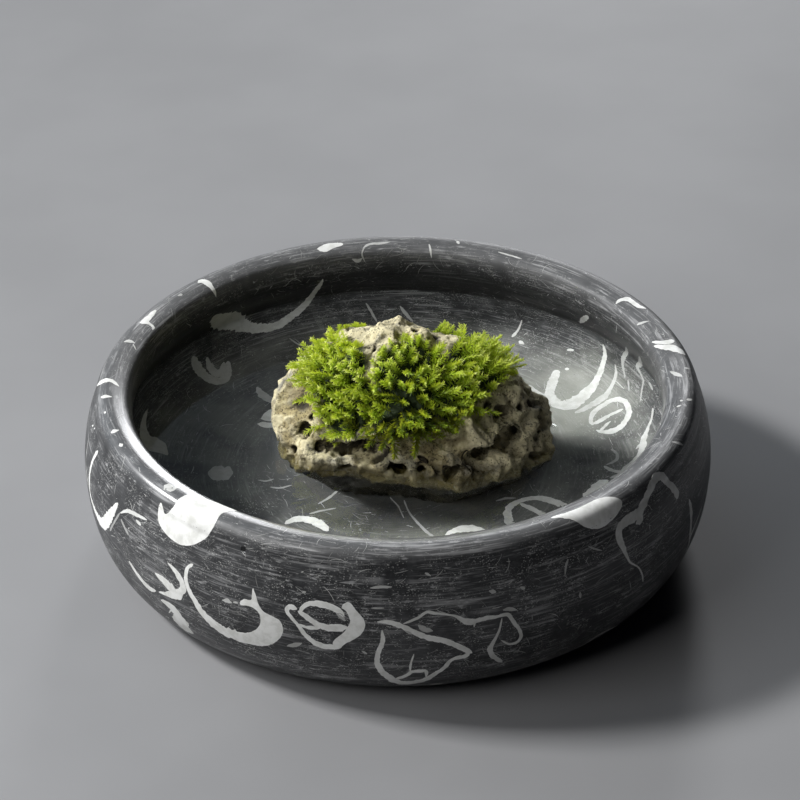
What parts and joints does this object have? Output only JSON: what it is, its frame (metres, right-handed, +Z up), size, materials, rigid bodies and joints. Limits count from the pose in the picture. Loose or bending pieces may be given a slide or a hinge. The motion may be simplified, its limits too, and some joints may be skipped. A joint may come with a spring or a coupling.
{
  "type": "stone basin",
  "caption": "Shallow round turned-stone basin with a rolled lip, holding still water and a porous rock planted with moss tufts.",
  "frame": {"origin": "on the surface it stands on, at the basin's turning axis", "axes": "+Z up along the turning axis, +X to the right and +Y to the back as the picture shows the rock"},
  "size_m": [0.28, 0.28, 0.1087],
  "materials": {
    "dark_limestone": "satin",
    "water": "gloss",
    "porous_rock": "matte",
    "moss": "matte"
  },
  "bodies": {
    "basin": {"basin": "dark_limestone", "water": "water"},
    "planting": {"rock": "porous_rock", "moss_top": "moss", "moss_crown_left": "moss", "moss_crown_right": "moss", "moss_front": "moss", "moss_front_left": "moss", "moss_front_right": "moss", "moss_left": "moss", "moss_right": "moss", "moss_back_left": "moss", "moss_back_right": "moss", "moss_low_front": "moss"}
  },
  "joints": [
    {"name": "rock_lift", "type": "slide", "parent": "basin", "child": "planting", "axis": [0, 0, 1], "range_m": [0, 0.12]}
  ]
}
